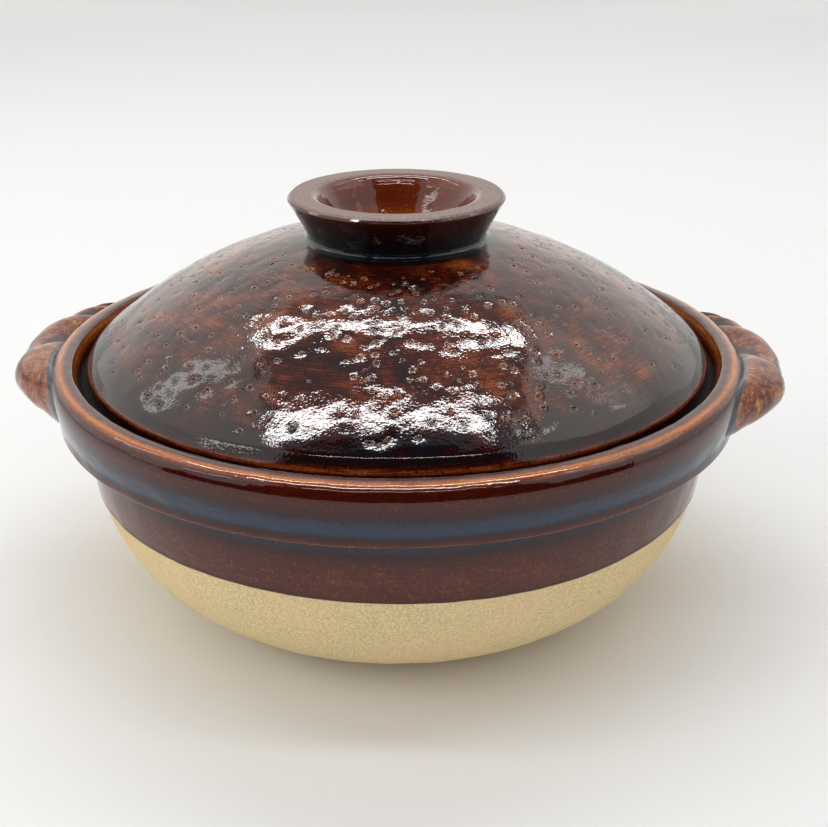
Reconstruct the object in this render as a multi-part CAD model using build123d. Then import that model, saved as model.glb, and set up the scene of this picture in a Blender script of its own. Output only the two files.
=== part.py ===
from build123d import *
from math import asin, atan2, cos, pi, radians, sqrt, tan
import os

# A covered stoneware pot for cooking over a flame: a thrown bowl with two luted rope ears,
# and a domed lid with a ring knob that drops onto a ledge just inside the bowl's mouth.
# The origin is the middle of the foot, on the table. +Z is up, and the ears lie along X.
# All lengths are in millimetres, and all angles in degrees.

# Bowl
rim_radius = 143.0             # widest point of the rolled rim
bowl_height = 108.5            # table to the top of the rim
wall = 8.0
floor_thickness = 9.5
foot_radius = 68.0
foot_ring_width = 10.0
foot_recess = 1.5
foot_edge_round = 1.2
collar_overhang = 12.6         # how far the rim stands out past the belly wall
collar_height = 23.0           # top of the rim down to the ridge
belly_top_drop = 31.0          # top of the rim down to where the belly wall starts
belly_pull_shares = [(0.705, 0.10), (1.0, 0.52)]   # the belly curve's two handles, out and up
floor_set_in_share = 0.9       # the floor's edge is drawn in by this share of the wall

# Rim and collar
roll_drop = 6.4                # top of the rim down to its widest point
rim_set_in = 2.8               # widest point in to the rim's top edge
rim_top_width = 6.2
rim_top_round = 1.6
ridge_set_in = 2.1             # widest point in to the ridge below it
ridge_round = 0.7
neck_set_in = 1.9              # widest point in to the hollow above the ridge
neck_rise = 4.6                # ridge up to that hollow
under_collar_fillet = 4.0
side_lean_share = 0.25         # how far the collar's side leans out where it leaves the hollow
roll_slope_share = 0.35        # how steeply the roll meets the rim's top edge

# Ledge that the lid sits on
seat_drop = 7.5                # top of the rim down to the ledge
mouth_taper = 3.0              # the mouth's wall leans in by this much, down to the ledge
seat_width = 11.0
seat_lip_round = 2.0
seat_corner_round = 1.0

# Lid
lid_side_gap = 2.7             # lid's edge to the mouth's wall
lid_edge_rise = 5.9            # ledge up to the lid's widest point
lid_band_height = 4.3          # widest point up to the foot of the dome
lid_band_set_in = 3.2
lid_edge_round = 1.5
lid_bearing_width = 8.5        # flat ring under the lid that sits on the ledge
dome_rise = 46.3               # foot of the dome to its crown
lid_wall = 6.5
lid_inner_corner_round = 4.0
steam_hole_radius = 4.0
steam_hole_place_share = 0.62  # of the way from the axis to the lid's edge, behind the knob

# Ring knob
knob_base_radius = 35.4
knob_top_radius = 44.4
knob_well_radius = 28.0
knob_height = 17.0             # dome up to the knob's top, at the knob's outer foot
knob_bevel = 1.6               # wiped edge round the top
knob_foot_fillet = 2.2         # where the knob spreads to meet the dome
knob_spread_share = 1.18       # the foot's spread past what its fillet takes up
knob_mouth_slope = 6.3         # the mouth dips towards the well over this width
knob_mouth_dip = 1.2
knob_mouth_round = 1.6
knob_edge_round = 0.5

# Ears
ear_reach = 18.0               # past the widest point of the rim
ear_drop = 11.0                # top of the rim down to the ears' middle line
ear_thickness = 19.0
ear_half_angle = 23.0          # the ear runs this far round the rim, each way from X
ear_slant = 42.0               # the twist of the rope, from square across the ear
ear_root_depth = 4.5           # how far the loft starts inside the rim, before it is trimmed

# Each ear is drawn through sections, from its front end to its back end: place of the nose
# along the ear, reach and thickness. The thin ones are the valleys of the rope.
ear_section_shares = [
    (-1.15, -0.12, 0.58),
    (-1.09, -0.07, 0.70),
    (-1.01, 0.01, 0.82),
    (-0.90, 0.12, 0.93),
    (-0.78, 0.30, 1.01),
    (-0.65, 0.54, 1.06),
    (-0.53, 0.75, 1.07),
    (-0.41, 0.90, 1.06),
    (-0.32, 0.95, 0.99),
    (-0.25, 0.91, 0.86),
    (-0.17, 0.94, 0.87),
    (-0.06, 0.98, 0.92),
    (0.05, 1.01, 1.00),
    (0.16, 1.02, 1.04),
    (0.27, 0.98, 1.00),
    (0.36, 0.90, 0.88),
    (0.45, 0.86, 0.89),
    (0.56, 0.80, 0.93),
    (0.66, 0.69, 0.83),
    (0.72, 0.66, 0.87),
    (0.78, 0.56, 0.82),
    (0.825, 0.42, 0.74),
    (0.86, 0.26, 0.64),
    (0.89, 0.09, 0.53),
    (0.915, -0.12, 0.42),
]

# Sizes worked out from the ones above
belly_radius = rim_radius - collar_overhang
belly_top = bowl_height - belly_top_drop
ridge_height = bowl_height - collar_height
rim_edge_radius = rim_radius - rim_set_in
mouth_radius = rim_edge_radius - rim_top_width
seat_radius = mouth_radius - mouth_taper
seat_height = bowl_height - seat_drop
seat_lip_radius = seat_radius - seat_width
lid_edge_radius = seat_radius - lid_side_gap
lid_edge_height = seat_height + lid_edge_rise
dome_foot_radius = lid_edge_radius - lid_band_set_in
dome_foot_height = lid_edge_height + lid_band_height
dome_radius = (dome_foot_radius**2 + dome_rise**2) / (2 * dome_rise)
dome_centre = dome_foot_height + dome_rise - dome_radius
lid_inner_radius = lid_edge_radius - lid_edge_round - lid_bearing_width
ear_height = bowl_height - ear_drop


# A point of an outline that is turned round the pot's axis
def at(radius, height):
    return Vector(radius, 0, height)


# Height of a dome over a radius, for the dome's outside or for a shell inside it
def dome_height(radius, depth=0):
    return dome_centre + sqrt((dome_radius - depth) ** 2 - radius**2)


# The arc of a dome between two radii
def dome_arc(start_radius, end_radius, depth=0):
    middle_radius = (start_radius + end_radius) / 2
    radii = (start_radius, middle_radius, end_radius)
    points = [at(radius, dome_height(radius, depth)) for radius in radii]
    return ThreePointArc(*points)


# Round the corners of a face that lie at the given points
def round_corners(face, corners):
    for point, radius in corners:
        corner = face.vertices().sort_by_distance(point)[0]
        face = fillet(corner, radius)
    return face


# The belly curve, from the foot up to the collar, moved in by a wall
def belly_curve(inset=0, base=0):
    start = at(foot_radius - inset * floor_set_in_share, base)
    end = at(belly_radius - inset, belly_top)
    pulls = []
    for out_share, up_share in belly_pull_shares:
        pulls.append(at(start.X + out_share * (end.X - start.X), base + up_share * (end.Z - base)))
    return Bezier(start, *pulls, end)


# Outside of the bowl, from the foot up to the rim's top edge
def bowl_outside():
    ridge = at(rim_radius - ridge_set_in, ridge_height)
    neck = at(rim_radius - neck_set_in, ridge_height + neck_rise)
    widest = at(rim_radius, bowl_height - roll_drop)
    rim_edge = at(rim_edge_radius, bowl_height)
    belly = belly_curve()
    under_wall = Line(belly @ 1, at(belly_radius, ridge_height - under_collar_fillet))
    under_collar = Line(under_wall @ 1, ridge)
    hollow = Line(ridge, neck)
    side = Spline(neck, widest, tangents=[at(side_lean_share, 1), at(0, 1)])
    roll = Spline(widest, rim_edge, tangents=[at(0, 1), at(-1, roll_slope_share)])
    return [belly, under_wall, under_collar, hollow, side, roll]


# The bowl as one filled blank, and hollowed
def bowl_blank():
    edges = bowl_outside()
    edges.append(Line(edges[-1] @ 1, at(0, bowl_height)))
    edges.append(Line(at(0, bowl_height), at(0, 0)))
    edges.append(Line(at(0, 0), at(foot_radius, 0)))
    face = make_face(edges)
    ridge = at(rim_radius - ridge_set_in, ridge_height)
    under = at(belly_radius, ridge_height - under_collar_fillet)
    corners = [(ridge, ridge_round), (under, under_collar_fillet)]
    corners.append((at(foot_radius, 0), foot_edge_round))
    return revolve(round_corners(face, corners), Axis.Z)


def bowl_hollow():
    inside = belly_curve(wall, floor_thickness)
    lip = at(seat_lip_radius, seat_height)
    throat = Line(inside @ 1, lip)
    ledge = Line(lip, at(seat_radius, seat_height))
    mouth_wall = Line(ledge @ 1, at(mouth_radius, bowl_height))
    top = Line(mouth_wall @ 1, at(0, bowl_height))
    axis_line = Line(top @ 1, at(0, floor_thickness))
    floor_line = Line(axis_line @ 1, inside @ 0)
    face = make_face([inside, throat, ledge, mouth_wall, top, axis_line, floor_line])
    face = round_corners(face, [(lip, seat_lip_round), (ledge @ 1, seat_corner_round)])
    return revolve(face, Axis.Z)


def foot_hollow():
    radius = foot_radius - foot_ring_width
    return Cylinder(radius, foot_recess, align=(Align.CENTER, Align.CENTER, Align.MIN))


def make_bowl():
    bowl = bowl_blank() - bowl_hollow() - foot_hollow()
    rim_edges = bowl.edges().filter_by(GeomType.CIRCLE)
    inner_rim = rim_edges.sort_by_distance(at(mouth_radius, bowl_height))[0]
    bowl = fillet(inner_rim, rim_top_round)
    return bowl


# One slanted oval section of the right ear, with its nose at the given place
def ear_section(place, reach_share, thickness_share):
    nose = rim_radius + ear_reach * reach_share
    depth = (nose - rim_radius + ear_root_depth) / cos(radians(ear_slant))
    oval = Pos(-depth / 2, 0) * Ellipse(depth / 2, ear_thickness * thickness_share / 2)
    across = Plane(at(nose, ear_height), x_dir=(1, 0, 0), z_dir=(0, 1, 0))
    return Rot(0, 0, ear_half_angle * place) * (across * Rot(0, ear_slant, 0) * oval)


def make_ear():
    sections = [ear_section(*shares) for shares in ear_section_shares]
    return loft(sections) - bowl_blank()


def make_lid():
    bearing = at(lid_edge_radius - lid_edge_round, seat_height)
    bottom_corner = at(lid_edge_radius, seat_height)
    widest = at(lid_edge_radius, lid_edge_height)
    band_top = at(dome_foot_radius, dome_foot_height)
    inner_foot = at(lid_inner_radius, seat_height)
    crown = dome_arc(dome_foot_radius, 0)
    inside = dome_arc(0, lid_inner_radius, lid_wall)
    outline = [
        Line(inner_foot, bottom_corner),
        Line(bottom_corner, widest),
        Line(widest, band_top),
        crown,
        Line(crown @ 1, inside @ 0),
        inside,
        Line(inside @ 1, inner_foot),
    ]
    face = make_face(outline)
    corners = [(bottom_corner, lid_edge_round), (widest, lid_edge_round)]
    corners.append((inside @ 1, lid_inner_corner_round))
    lid = revolve(round_corners(face, corners), Axis.Z)
    hole_place = (0, lid_edge_radius * steam_hole_place_share)
    hole = Pos(*hole_place, dome_centre + dome_radius) * Cylinder(steam_hole_radius, dome_radius)
    return lid - hole


# The dome as a filled ball, to shape what stands on it
def dome_ball():
    return Pos(0, 0, dome_centre) * Sphere(dome_radius)


def make_knob():
    base = dome_height(knob_base_radius)
    top = base + knob_height
    sunk = base - knob_height
    foot = at(knob_base_radius, base)
    bevel_foot = at(knob_top_radius, top - knob_bevel)
    bevel_top = at(knob_top_radius - knob_bevel, top)
    mouth_edge = at(knob_well_radius + knob_mouth_slope, top)
    throat = at(knob_well_radius, top - knob_mouth_dip)
    lean = atan2(knob_top_radius - knob_base_radius, knob_height - knob_bevel)
    foot_angle = pi / 2 - lean + asin(knob_base_radius / dome_radius)
    spread_radius = knob_base_radius + knob_spread_share * knob_foot_fillet / tan(foot_angle / 2)
    corners = [
        at(knob_well_radius, sunk),
        at(spread_radius, sunk),
        at(spread_radius, dome_height(spread_radius)),
        foot,
        bevel_foot,
        bevel_top,
        mouth_edge,
        throat,
    ]
    face = make_face(Polyline(*corners, close=True))
    rounds = [(foot, knob_foot_fillet), (bevel_foot, knob_edge_round), (bevel_top, knob_edge_round)]
    rounds.append((throat, knob_mouth_round))
    ring = revolve(round_corners(face, rounds), Axis.Z)
    return ring - dome_ball()


ear_right = make_ear()
parts = {
    "pot_bowl": make_bowl(),
    "handle_right": ear_right,
    "handle_left": mirror(ear_right, about=Plane.YZ),
    "lid_dome": make_lid(),
    "lid_knob": make_knob(),
}

os.makedirs("parts", exist_ok=True)
for name, solid in parts.items():
    export_step(solid, f"parts/{name}.step")
    box = solid.bounding_box()
    print(name, len(solid.solids()), "solid", [round(side, 1) for side in (*box.min, *box.max)])
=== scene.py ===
import bpy
import numpy as np
from math import atan2, asin, ceil, comb, cos, pi, radians, sin, sqrt, tan
from mathutils import Matrix, Vector


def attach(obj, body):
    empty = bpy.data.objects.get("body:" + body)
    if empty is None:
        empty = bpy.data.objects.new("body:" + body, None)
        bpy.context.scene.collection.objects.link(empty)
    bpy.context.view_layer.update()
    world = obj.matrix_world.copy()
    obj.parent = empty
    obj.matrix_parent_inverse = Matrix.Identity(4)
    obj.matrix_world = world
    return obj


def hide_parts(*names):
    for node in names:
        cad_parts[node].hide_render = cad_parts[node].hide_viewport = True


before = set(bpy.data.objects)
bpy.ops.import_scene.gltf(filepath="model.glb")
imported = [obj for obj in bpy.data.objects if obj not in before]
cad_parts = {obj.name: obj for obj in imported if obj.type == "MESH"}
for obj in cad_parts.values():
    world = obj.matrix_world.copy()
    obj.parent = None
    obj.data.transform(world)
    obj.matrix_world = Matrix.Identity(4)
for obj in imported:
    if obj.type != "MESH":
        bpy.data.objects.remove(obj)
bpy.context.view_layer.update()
mm = 0.001
print("frame loaded")

# Everything below is worked out in millimetres and put into the meshes in metres.


# Sum of the control points, each weighted by its Bernstein polynomial, at even steps of the parameter
def bezier(points, count=24):
    points = np.array(points, float)
    degree = len(points) - 1
    t = np.linspace(0, 1, count)[:, None]
    weights = [comb(degree, i) * t[:, 0] ** i * (1 - t[:, 0]) ** (degree - i) for i in range(degree + 1)]
    return np.array(weights).T @ points


# Cubic Hermite curve through the given values, with their finite differences as slopes
def smoothThrough(places, values, at):
    slopes = np.gradient(values, places)
    i = np.clip(np.searchsorted(places, at) - 1, 0, len(places) - 2)
    width = places[i + 1] - places[i]
    t = (at - places[i]) / width
    rise = values[i + 1] - values[i]
    cubic = (width * slopes[i] - rise) * (1 - t) + (rise - width * slopes[i + 1]) * t
    return values[i] + t * rise + t * (1 - t) * cubic


# Cubic step from 0 at low to 1 at high
def ease(value, low, high):
    t = np.clip((value - low) / (high - low), 0, 1)
    return t * t * (3 - 2 * t)


# A profile through stops of radius, height, cut, depth and step. A stop with a cut is a rounded
# corner: it leaves its two runs that far from the corner, along the quadratic curve whose handle is
# the corner. The profile is then sampled so that the rows lie about one step apart.
def profile(stops, corner=7):
    stops = np.array(stops, float)
    before = np.roll(stops, 1, 0) - stops
    after = np.roll(stops, -1, 0) - stops
    before[0] = 0
    after[-1] = 0
    ends = []
    for way in (before, after):
        reach = np.minimum(stops[:, 2] / np.maximum(np.hypot(way[:, 0], way[:, 1]), 1e-9), 0.5)
        ends.append((stops + way * reach[:, None])[:, None])
    t = np.linspace(0, 1, corner)[None, :, None]
    line = (1 - t) ** 2 * ends[0] + 2 * t * (1 - t) * stops[:, None] + t * t * ends[1]
    line = line.reshape(-1, stops.shape[1])
    run = np.hypot(*np.diff(line[:, :2], axis=0).T)
    line = line[np.r_[True, run > 1e-4]]
    run = np.hypot(*np.diff(line[:, :2], axis=0).T)
    place = np.r_[0, np.cumsum(run / (0.5 * (line[1:, 4] + line[:-1, 4])))]
    length = np.r_[0, np.cumsum(run)]
    at = np.linspace(0, place[-1], ceil(place[-1]) + 1)
    columns = [np.interp(at, place, line[:, i]) for i in range(5)]
    return {
        "radius": columns[0], "height": columns[1], "depth": columns[3],
        "length": np.interp(at, place, length),
    }


# Stops along a curve from its handles, with the depths spread evenly along it. The curve's first
# point is left out where the stop before it already stands there.
def curveStops(handles, count, depths, step, skip=1):
    points = bezier(handles, count)[skip:]
    share = np.linspace(0, 1, len(points))
    depth = np.interp(share, np.linspace(0, 1, len(depths)), depths)
    return np.column_stack([points, 0 * share, depth, step + 0 * share]).tolist()


# Sum of sine waves in space, with seeded directions, wavelengths between short and long, and phases
def waves(points, short, long, seed, count=28):
    rng = np.random.default_rng(seed)
    ways = rng.normal(size=(3, count))
    ways /= np.linalg.norm(ways, axis=0)
    angles = points @ (ways * 2 * pi / rng.uniform(short, long, count)) + rng.uniform(0, 2 * pi, count)
    return np.cos(angles).sum(-1) / sqrt(count / 2)


def anglesRound(columns):
    return np.linspace(0, 2 * pi, columns, endpoint=False)


# Profile rows carried round the axis: radius r and height z at angle a go to (r cos a, r sin a, z)
def turned(radius, height, columns):
    angle = anglesRound(columns)
    grid = np.empty((len(radius), columns, 3))
    grid[..., 0] = radius[:, None] * np.cos(angle)
    grid[..., 1] = radius[:, None] * np.sin(angle)
    grid[..., 2] = height[:, None]
    return grid


# Outward normals of a turned profile: the tangent of each row turned a quarter turn, carried round
def turnedNormals(radius, height, columns):
    alongR = np.gradient(radius)
    alongZ = np.gradient(height)
    size = np.maximum(np.hypot(alongR, alongZ), 1e-9)
    return turned(alongZ / size, -alongR / size, columns)


# Place on a thrown surface: round the pot, and along the profile, in millimetres of the mean radius
def thrownPlace(length, columns, meanRadius):
    return turned(np.full(len(length), float(meanRadius)), length, columns).reshape(-1, 3)


# Four-sided faces between neighbouring rows and columns, the columns closed round
def gridFaces(rows, columns, closedRows=False):
    i = np.arange(rows if closedRows else rows - 1)[:, None]
    j = np.arange(columns)[None, :]
    nextRow = (i + 1) % rows
    nextColumn = (j + 1) % columns
    here, following = i * columns, nextRow * columns
    corners = [here + j, here + nextColumn, following + nextColumn, following + j]
    return np.stack(np.broadcast_arrays(*corners), -1).reshape(-1, 4)


# Triangles from the first and the last row of a grid to their poles, the two vertices that follow it
def poleFaces(rows, columns):
    j = np.arange(columns)
    k = (j + 1) % columns
    last = (rows - 1) * columns
    pole = np.full(columns, rows * columns)
    return np.stack([k, j, pole], -1), np.stack([last + j, last + k, pole + 1], -1)


# Puts an object in the scene
def addObject(name, data):
    made = bpy.data.objects.new(name, data)
    bpy.context.scene.collection.objects.link(made)
    return made


# A mesh object from points in millimetres, lists of faces with their material places, and
# values kept on the vertices for the materials to read
def makePiece(name, points, faceGroups, values, materials, sharpAngle=50):
    faces = [group for group, place in faceGroups]
    places = np.concatenate([np.broadcast_to(place, len(group)) for group, place in faceGroups])
    used = np.unique(np.concatenate([group.ravel() for group in faces]))
    renumber = np.zeros(len(points), int)
    renumber[used] = np.arange(len(used))
    mesh = bpy.data.meshes.new(name)
    allFaces = sum([renumber[group].tolist() for group in faces], [])
    mesh.from_pydata((points[used] * mm).tolist(), [], allFaces)
    for material in materials:
        mesh.materials.append(material)
    mesh.polygons.foreach_set("material_index", places.astype(np.int32))
    for label, value in values.items():
        flat = value[used]
        kind = "FLOAT_VECTOR" if flat.ndim == 2 else "FLOAT"
        layer = mesh.attributes.new(label, kind, "POINT")
        layer.data.foreach_set("vector" if flat.ndim == 2 else "value", flat.astype(np.float32).ravel())
    mesh.shade_smooth()
    mesh.set_sharp_from_angle(angle=radians(sharpAngle))
    mesh.update()
    print(name, len(mesh.polygons), "faces")
    return addObject(name, mesh)


# sRGB hex to linear red, green, blue and alpha
def colour(code):
    parts = [int(code[i:i + 2], 16) / 255 for i in (1, 3, 5)]
    return (*[p / 12.92 if p <= 0.04045 else ((p + 0.055) / 1.055) ** 2.4 for p in parts], 1)


# Adds a node with its inputs, in a dictionary or from the first one on. An input is a plain value,
# the socket that feeds it, or a node whose first output feeds it. A colour ramp also gets its stops.
def addNode(tree, kind, inputs=(), stops=(), **settings):
    node = tree.nodes.new("ShaderNode" + kind)
    for name, value in settings.items():
        setattr(node, name, value)
    for socket, value in inputs.items() if isinstance(inputs, dict) else enumerate(inputs):
        if isinstance(value, bpy.types.Node):
            value = value.outputs[0]
        if isinstance(value, bpy.types.NodeSocket):
            tree.links.new(value, node.inputs[socket])
        else:
            node.inputs[socket].default_value = value
    for i, (place, code) in enumerate(stops):
        element = node.color_ramp.elements[i] if i < 2 else node.color_ramp.elements.new(place)
        element.position = place
        element.color = colour(code)
    return node


# Inputs of a pattern whose cells are so many mm across
def pattern(place, size, **more):
    return {"Vector": place, "Scale": 1 / (size * mm), **more}


def newMaterial(name):
    material = bpy.data.materials.new(name)
    material.use_nodes = True
    material.node_tree.nodes.clear()
    return material, material.node_tree


# The shader of a solid finish, with its bump, joined to the output
def finishMaterial(tree, base, height, finish):
    bump = addNode(tree, "Bump", {"Strength": 1.0, "Distance": 1.0, "Height": height})
    shader = addNode(tree, "BsdfPrincipled", {"Base Color": base, "Normal": bump, **finish})
    addNode(tree, "OutputMaterial", {"Surface": shader})


# Ame glaze: an iron glaze over stoneware, dipped and fired glossy. Where it runs thin over an
# edge it is honey amber, on the walls a dark red-brown, and where it pools it turns milky blue-grey.
ameGlaze = {
    # colours from the thinnest glaze, at 0, to the deepest pool, at 1
    "stops": [(0.0, "#cc781f"), (0.2, "#8c4214"), (0.42, "#4c180a"), (0.58, "#380d07"),
              (0.76, "#2a0f10"), (1.0, "#24334a")],
    "streakLength": 9.0,  # mm, the drag of the glaze round the pot
    "streakWidth": 0.9,
    "patchSize": 26.0,
    "mottleSize": 2.6,
    "speckSize": 0.9,
    "peelSize": 1.0,  # orange peel of the fired surface
    "peelHeight": 0.022,
    "rippleSize": 3.2,
    "rippleHeight": 0.03,
    "roughness": 0.045,
    "ior": 1.5,
    # how far each pattern moves the depth of the glaze
    "streak": 0.20,
    "patch": 0.10,
    "mottle": 0.14,
    "speck": 0.14,
    "fleck": 0.0,
    # pinholes: gas burst through the glaze, and left a hole with a thin amber lip; the hole's dark colour
    # is painted shade
    "holeShadeColour": "#1c0d08",
    "holeDepth": 0.42,
    "lipHeight": 0.13,
    "lipThinning": 0.34,
    # the thin dry skin that is left where a sponge wiped the glaze back
    "skin": [(0.3, "#543a34"), (0.7, "#86685a")],
    "skinRoughness": 0.42,
}
lidGlazeChanges = {
    "stops": [(0.0, "#c07224"), (0.2, "#8d4517"), (0.42, "#4c1a0a"), (0.56, "#2e0c08"),
              (0.72, "#160a0c"), (1.0, "#121823")],
    "peelHeight": 0.075,
    "streakWidth": 0.7,
    "streakLength": 8.0,
    "mottleSize": 2.2,
    "streak": 0.66,
    "patch": 0.14,
    "mottle": 0.36,
    "speck": 0.12,
    "fleck": 0.22,
}
knobGlazeChanges = {
    "stops": [(0.0, "#a5561c"), (0.2, "#6f2c0f"), (0.42, "#3c1209"), (0.58, "#240b09"),
              (0.76, "#150a0c"), (1.0, "#0f141d")],
    "mottleSize": 1.6,
    "streak": 0.22,
    "mottle": 0.12,
    "speck": 0.10,
}
earGlazeChanges = {
    "stops": [(0.0, "#d28d30"), (0.2, "#984b15"), (0.42, "#5c210c"), (0.58, "#3c1209"),
              (0.76, "#1e1016"), (1.0, "#1a2536")],
    "streakWidth": 5,
    "patchSize": 8,
    "roughness": 0.03,
    "patch": 0.45,
    "mottle": 1.0,
    "speck": 0.2,
}


# The piece's glazeDepth, moved by drag streaks, patches, mottle and specks, picks the colour from the
# stops. Orange peel and a slow ripple lift the surface.
def glazeMaterial(name, changes={}, pits=False, wiped=False):
    look = {**ameGlaze, **changes}
    material, tree = newMaterial(name)
    place = addNode(tree, "TexCoord").outputs["Object"]
    depth = addNode(tree, "Attribute", attribute_name="glazeDepth").outputs["Fac"]
    thrown = addNode(tree, "Attribute", attribute_name="thrown").outputs["Vector"]
    along, across = 1 / look["streakLength"], 1 / look["streakWidth"]
    drag = addNode(tree, "VectorMath", [thrown, (along, along, across)], operation="MULTIPLY")
    fields = []
    for inputs, amount in [
        ({"Vector": drag, "Scale": 1.0, "Detail": 3.0, "Roughness": 0.6}, look["streak"]),
        (pattern(place, look["patchSize"], Detail=2.0, Roughness=0.5), look["patch"]),
        (pattern(place, look["mottleSize"], Detail=3.0, Roughness=0.6), look["mottle"]),
    ]:
        noise = addNode(tree, "TexNoise", inputs)
        fields.append(noise)
        shift = addNode(tree, "Math", [noise, 0.5], operation="SUBTRACT")
        depth = addNode(tree, "Math", [shift, amount, depth], operation="MULTIPLY_ADD")
    streaks, mottles = fields[0], fields[2]
    # rutile specks: small cells of the glaze that broke to amber
    specks = addNode(tree, "TexNoise", pattern(place, look["speckSize"], Detail=1.0))
    broken = addNode(tree, "MapRange", [specks, 0.60, 0.70, 0.0, -look["speck"]])
    depth = addNode(tree, "Math", [depth, broken], operation="ADD")
    settled = addNode(tree, "MapRange", [mottles, 0.44, 0.34, 0.0, look["fleck"]])
    depth = addNode(tree, "Math", [depth, settled], operation="ADD")
    peel = addNode(tree, "TexNoise", pattern(place, look["peelSize"], Detail=1.0))
    ripple = addNode(tree, "TexNoise", pattern(place, look["rippleSize"], Detail=1.0))
    height = addNode(tree, "Math", [peel, look["peelHeight"] * mm], operation="MULTIPLY")
    height = addNode(tree, "Math", [ripple, look["rippleHeight"] * mm, height], operation="MULTIPLY_ADD")
    gloss = [mottles, 0.3, 0.8, look["roughness"] * 0.8, look["roughness"] * 1.6]
    roughness = addNode(tree, "MapRange", gloss)
    if pits:
        # the glaze is rougher where it boiled round the pinholes
        near = addNode(tree, "Attribute", attribute_name="boiledShare").outputs["Fac"]
        boiled = addNode(tree, "MapRange", [near, 0.0, 1.0, 0.5, 1.3])
        height = addNode(tree, "Math", [height, boiled], operation="MULTIPLY")
        # the distance from the nearest pinhole as a share of its radius, which the specks make uneven
        offset = addNode(tree, "Attribute", attribute_name="pitOffset").outputs["Vector"]
        distance = addNode(tree, "VectorMath", [offset], operation="LENGTH").outputs["Value"]
        size = addNode(tree, "Attribute", attribute_name="pitSize").outputs["Fac"]
        uneven = addNode(tree, "MapRange", [specks, 0.2, 0.8, 0.75, 1.3])
        wide = addNode(tree, "Math", [size, uneven], operation="MULTIPLY")
        wide = addNode(tree, "Math", [wide, 0.02], operation="MAXIMUM")
        ratio = addNode(tree, "Math", [distance, wide], operation="DIVIDE")
        smooth = {"interpolation_type": "SMOOTHSTEP"}
        lip = addNode(tree, "MapRange", [ratio, 0.9, 1.9, -look["lipThinning"], 0.0], **smooth)
        depth = addNode(tree, "Math", [depth, lip], operation="ADD")
        # painted shade in the hole: a share that is one in the middle of a pinhole and fades out towards
        # its edge
        inside = addNode(tree, "MapRange", [ratio, 0.5, 0.95, 1.0, 0.0], **smooth)
        hollow = addNode(tree, "MapRange", [ratio, 0.35, 1.0, 0.0, look["holeDepth"] * mm], **smooth)
        height = addNode(tree, "Math", [height, hollow], operation="ADD")
        falling = addNode(tree, "MapRange", [ratio, 1.05, 1.9, 0.0, -look["lipHeight"] * mm], **smooth)
        height = addNode(tree, "Math", [height, falling], operation="ADD")
    base = addNode(tree, "ValToRGB", {"Fac": depth}, look["stops"]).outputs["Color"]
    if pits:
        # painted shade: the pinholes are painted dark towards their middle
        holeShadeMix = {0: inside, 6: base, 7: colour(look["holeShadeColour"])}
        base = addNode(tree, "Mix", holeShadeMix, data_type="RGBA").outputs[2]
    if wiped:
        share = addNode(tree, "Attribute", attribute_name="wipedShare").outputs["Fac"]
        rub = addNode(tree, "MapRange", [streaks, 0.35, 0.65, -0.15, 0.15])
        share = addNode(tree, "Math", [share, rub], operation="ADD", use_clamp=True)
        share = addNode(tree, "MapRange", [share, 0.15, 0.9, 0.0, 1.0])
        skin = addNode(tree, "ValToRGB", {"Fac": mottles}, look["skin"])
        base = addNode(tree, "Mix", {0: share, 6: base, 7: skin}, data_type="RGBA").outputs[2]
        dry = {0: share, 2: roughness, 3: look["skinRoughness"]}
        roughness = addNode(tree, "Mix", dry, data_type="FLOAT")
    finishMaterial(tree, base, height, {"Roughness": roughness, "IOR": look["ior"]})
    return material


# Bare stoneware: buff fireclay with iron specks, thrown, turned and fired unglazed. It is matt and
# sandy, with fine turning lines and open pores.
bareStoneware = {
    "body": "#f0dcaa",
    "sand": "#cdb484",
    "warm": "#eccb9f",
    "speck": "#6d5232",
    "grainSize": 0.8,
    "grainHeight": 0.14,
    "warmSize": 30.0,
    "speckSpacing": 2.6,
    "poreSpacing": 5.0,
    "poreDepth": 0.35,
    "lineSpacing": 1.3,
    "lineDrag": 0.03,  # slow change round the pot, so that the lines run round it
    "lineHeight": 0.10,
    "roughness": 0.88,
    "ior": 1.45,
}


def clayMaterial(name):
    look = bareStoneware
    material, tree = newMaterial(name)
    place = addNode(tree, "TexCoord").outputs["Object"]
    thrown = addNode(tree, "Attribute", attribute_name="thrown").outputs["Vector"]
    grain = addNode(tree, "TexNoise", pattern(place, look["grainSize"], Detail=3.0, Roughness=0.65))
    drift = addNode(tree, "TexNoise", pattern(place, look["warmSize"], Detail=2.0))
    stretch = (look["lineDrag"], look["lineDrag"], 1 / look["lineSpacing"])
    lines = addNode(tree, "VectorMath", [thrown, stretch], operation="MULTIPLY")
    turning = addNode(tree, "TexNoise", {"Vector": lines, "Scale": 1.0, "Detail": 2.0})
    sandy = addNode(tree, "MapRange", [grain, 0.38, 0.64, 0.0, 1.0])
    blush = addNode(tree, "MapRange", [drift, 0.45, 0.75, 0.0, 0.6])
    iron = addNode(tree, "TexVoronoi", pattern(place, look["speckSpacing"], Randomness=1.0))
    spot = addNode(tree, "MapRange", [iron, 0.05, 0.13, 0.75, 0.0])
    base = colour(look["body"])
    for share, tint in [(sandy, "sand"), (blush, "warm"), (spot, "speck")]:
        base = addNode(tree, "Mix", {0: share, 6: base, 7: colour(look[tint])}, data_type="RGBA").outputs[2]
    pore = addNode(tree, "TexVoronoi", pattern(place, look["poreSpacing"], Randomness=1.0))
    sunk = addNode(tree, "MapRange", [pore, 0.03, 0.09, -look["poreDepth"] * mm, 0.0])
    height = addNode(tree, "Math", [grain, look["grainHeight"] * mm, sunk], operation="MULTIPLY_ADD")
    height = addNode(tree, "Math", [turning, look["lineHeight"] * mm, height], operation="MULTIPLY_ADD")
    finishMaterial(tree, base, height, {"Roughness": look["roughness"], "IOR": look["ior"]})
    return material
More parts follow.
